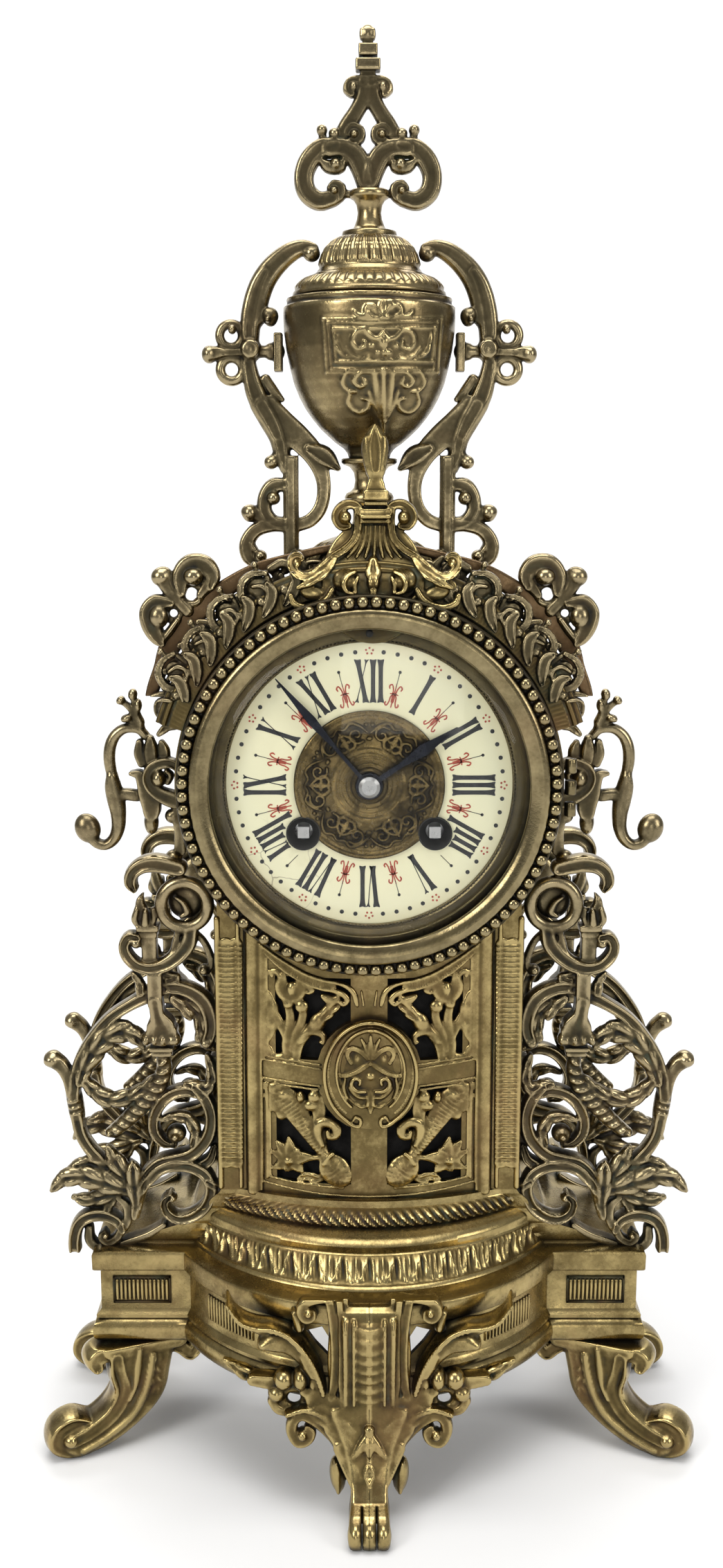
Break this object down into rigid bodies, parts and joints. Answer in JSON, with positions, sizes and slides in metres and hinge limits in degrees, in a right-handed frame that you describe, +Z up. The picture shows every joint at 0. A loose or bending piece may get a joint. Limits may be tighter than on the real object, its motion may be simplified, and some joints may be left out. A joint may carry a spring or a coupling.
{
  "type": "mantel clock",
  "caption": "Tall gilt-brass mantel clock with an urn, pierced scroll sides, glazed dial and a spring-driven striking movement with a short pendulum.",
  "frame": {"origin": "centre of the bounding box on the surface the feet stand on", "axes": "+X to the viewer's right of the dial, +Y from the dial to the back, +Z up"},
  "size_m": [0.23, 0.1238, 0.4689],
  "materials": {
    "gilt_brass": "aged gilt brass, satin with dark crevices",
    "bronze_ornament": "browned cast brass, rubbed bright on the high places",
    "black_cloth": "fine black cloth",
    "bezel_brass": "turned brass, lightly tarnished",
    "clear_glass": "polished domed glass with a bevelled rim",
    "cream_enamel": "glossy cream enamel on copper with black numerals",
    "movement_brass": "polished brass",
    "steel": "polished steel",
    "bell_metal": "turned bell metal",
    "blued_steel": "blue-black tempered steel"
  },
  "bodies": {
    "case": {"plinth": "gilt_brass", "front_feet": "bronze_ornament", "rear_feet": "bronze_ornament", "front_apron": "gilt_brass", "case_column": "gilt_brass", "front_panel": "gilt_brass", "grille_cloth": "black_cloth", "drum": "gilt_brass", "dial_moulding": "gilt_brass", "dial_surround": "bezel_brass", "enamel_dial": "cream_enamel", "dial_plate": "movement_brass", "dial_centre": "bezel_brass", "front_plate": "movement_brass", "back_plate": "movement_brass", "plate_pillars": "movement_brass", "movement_straps": "movement_brass", "back_cocks": "movement_brass", "bell": "bell_metal", "rear_ring": "gilt_brass", "urn_foot": "gilt_brass", "urn_body": "gilt_brass", "urn_lid": "gilt_brass", "finial": "bronze_ornament", "urn_supports": "bronze_ornament", "arch_band": "bronze_ornament", "crest": "bronze_ornament", "hooks": "bronze_ornament", "side_scrolls_front": "bronze_ornament", "side_scrolls_rear": "bronze_ornament", "urn_bolt": "steel"},
    "bezel_door": {"bezel": "bezel_brass", "bezel_glass": "clear_glass"},
    "rear_door": {"rear_door": "gilt_brass"},
    "centre_arbor": {"centre_wheel": "movement_brass", "cannon_pinion": "movement_brass", "minute_hand": "blued_steel", "hand_nut": "steel"},
    "hour_wheel": {"hour_wheel": "movement_brass", "hour_hand": "blued_steel"},
    "minute_wheel": {"minute_wheel": "movement_brass"},
    "intermediate_wheel": {"intermediate_wheel": "movement_brass"},
    "going_barrel": {"going_barrel": "movement_brass", "going_mainspring": "steel"},
    "third_wheel": {"third_wheel": "movement_brass"},
    "escape_wheel": {"escape_wheel": "movement_brass"},
    "pendulum": {"pendulum_rod": "steel", "pendulum_bob": "movement_brass"},
    "anchor": {"anchor_and_crutch": "steel"},
    "regulator": {"regulator_arbor": "steel"},
    "going_winder": {"going_winding_arbor": "steel"},
    "strike_winder": {"strike_winding_arbor": "steel"},
    "going_click": {"going_click": "steel"},
    "strike_click": {"strike_click": "steel"},
    "strike_barrel": {"strike_barrel": "movement_brass", "strike_mainspring": "steel"},
    "strike_second_wheel": {"strike_second_wheel": "movement_brass"},
    "strike_pin_wheel": {"strike_pin_wheel": "movement_brass"},
    "strike_fly": {"strike_fly": "movement_brass"},
    "hammer": {"hammer": "steel"}
  },
  "joints": [
    {"name": "bezel_hinge", "type": "hinge", "parent": "case", "child": "bezel_door", "pos_m": [0.064, -0.01, 0.2355], "axis": [0, 0, 1], "range_deg": [0, 95]},
    {"name": "rear_door_hinge", "type": "hinge", "parent": "case", "child": "rear_door", "pos_m": [-0.056, 0.06, 0.2355], "axis": [0, 0, 1], "range_deg": [0, 100]},
    {"name": "minute_hand_turn", "type": "hinge", "parent": "case", "child": "centre_arbor", "pos_m": [0, 0.02, 0.2355], "axis": [0, 1, 0], "continuous": true},
    {"name": "hour_hand_turn", "type": "hinge", "parent": "case", "child": "hour_wheel", "pos_m": [0, 0.02, 0.2355], "axis": [0, 1, 0], "continuous": true},
    {"name": "minute_wheel_turn", "type": "hinge", "parent": "case", "child": "minute_wheel", "pos_m": [0, 0.02, 0.2235], "axis": [0, 1, 0], "continuous": true},
    {"name": "intermediate_turn", "type": "hinge", "parent": "case", "child": "intermediate_wheel", "pos_m": [0.01468, 0.02, 0.24186], "axis": [0, 1, 0], "continuous": true},
    {"name": "going_barrel_turn", "type": "hinge", "parent": "case", "child": "going_barrel", "pos_m": [0.0212, 0.02, 0.2198], "axis": [0, 1, 0], "continuous": true},
    {"name": "third_wheel_turn", "type": "hinge", "parent": "case", "child": "third_wheel", "pos_m": [0, 0.02, 0.2511], "axis": [0, 1, 0], "continuous": true},
    {"name": "escape_wheel_turn", "type": "hinge", "parent": "case", "child": "escape_wheel", "pos_m": [0, 0.02, 0.2641], "axis": [0, 1, 0], "continuous": true},
    {"name": "pendulum_swing", "type": "hinge", "parent": "case", "child": "pendulum", "pos_m": [0, 0.0408, 0.2804], "axis": [0, 1, 0], "range_deg": [-2.5, 2.5]},
    {"name": "anchor_rock", "type": "hinge", "parent": "case", "child": "anchor", "pos_m": [0, 0.03, 0.2804], "axis": [0, 1, 0], "range_deg": [-2.5, 2.5]},
    {"name": "regulator_turn", "type": "hinge", "parent": "case", "child": "regulator", "pos_m": [0, 0.02, 0.2844], "axis": [0, 1, 0], "continuous": true},
    {"name": "going_winding_turn", "type": "hinge", "parent": "case", "child": "going_winder", "pos_m": [0.0212, 0.02, 0.2198], "axis": [0, 1, 0], "continuous": true},
    {"name": "strike_winding_turn", "type": "hinge", "parent": "case", "child": "strike_winder", "pos_m": [-0.0212, 0.02, 0.2198], "axis": [0, 1, 0], "continuous": true},
    {"name": "going_click_lift", "type": "hinge", "parent": "case", "child": "going_click", "pos_m": [0.0327, 0.0023, 0.2138], "axis": [0, 1, 0], "range_deg": [0, 12]},
    {"name": "strike_click_lift", "type": "hinge", "parent": "case", "child": "strike_click", "pos_m": [-0.0327, 0.0023, 0.2138], "axis": [0, 1, 0], "range_deg": [-12, 0]},
    {"name": "strike_barrel_turn", "type": "hinge", "parent": "case", "child": "strike_barrel", "pos_m": [-0.0212, 0.02, 0.2198], "axis": [0, 1, 0], "continuous": true},
    {"name": "strike_second_turn", "type": "hinge", "parent": "case", "child": "strike_second_wheel", "pos_m": [-0.01468, 0.02, 0.24186], "axis": [0, 1, 0], "continuous": true},
    {"name": "strike_pin_turn", "type": "hinge", "parent": "case", "child": "strike_pin_wheel", "pos_m": [-0.02015, 0.02, 0.2569], "axis": [0, 1, 0], "continuous": true},
    {"name": "strike_fly_turn", "type": "hinge", "parent": "case", "child": "strike_fly", "pos_m": [-0.0142, 0.02, 0.2672], "axis": [0, 1, 0], "continuous": true},
    {"name": "hammer_lift", "type": "hinge", "parent": "case", "child": "hammer", "pos_m": [-0.034, 0.03, 0.2575], "axis": [0, 1, 0], "range_deg": [0, 14]}
  ],
  "couplings": [
    {"joint": "hour_hand_turn", "follows": "minute_hand_turn", "ratio": 0.083333},
    {"joint": "minute_wheel_turn", "follows": "minute_hand_turn", "ratio": -0.33333},
    {"joint": "intermediate_turn", "follows": "minute_hand_turn", "ratio": -0.14286},
    {"joint": "going_barrel_turn", "follows": "minute_hand_turn", "ratio": 0.021429},
    {"joint": "third_wheel_turn", "follows": "minute_hand_turn", "ratio": -12},
    {"joint": "escape_wheel_turn", "follows": "minute_hand_turn", "ratio": 144},
    {"joint": "anchor_rock", "follows": "pendulum_swing", "ratio": 1},
    {"joint": "strike_second_turn", "follows": "strike_barrel_turn", "ratio": -6.6667},
    {"joint": "strike_pin_turn", "follows": "strike_barrel_turn", "ratio": 46.667},
    {"joint": "strike_fly_turn", "follows": "strike_barrel_turn", "ratio": -350}
  ]
}
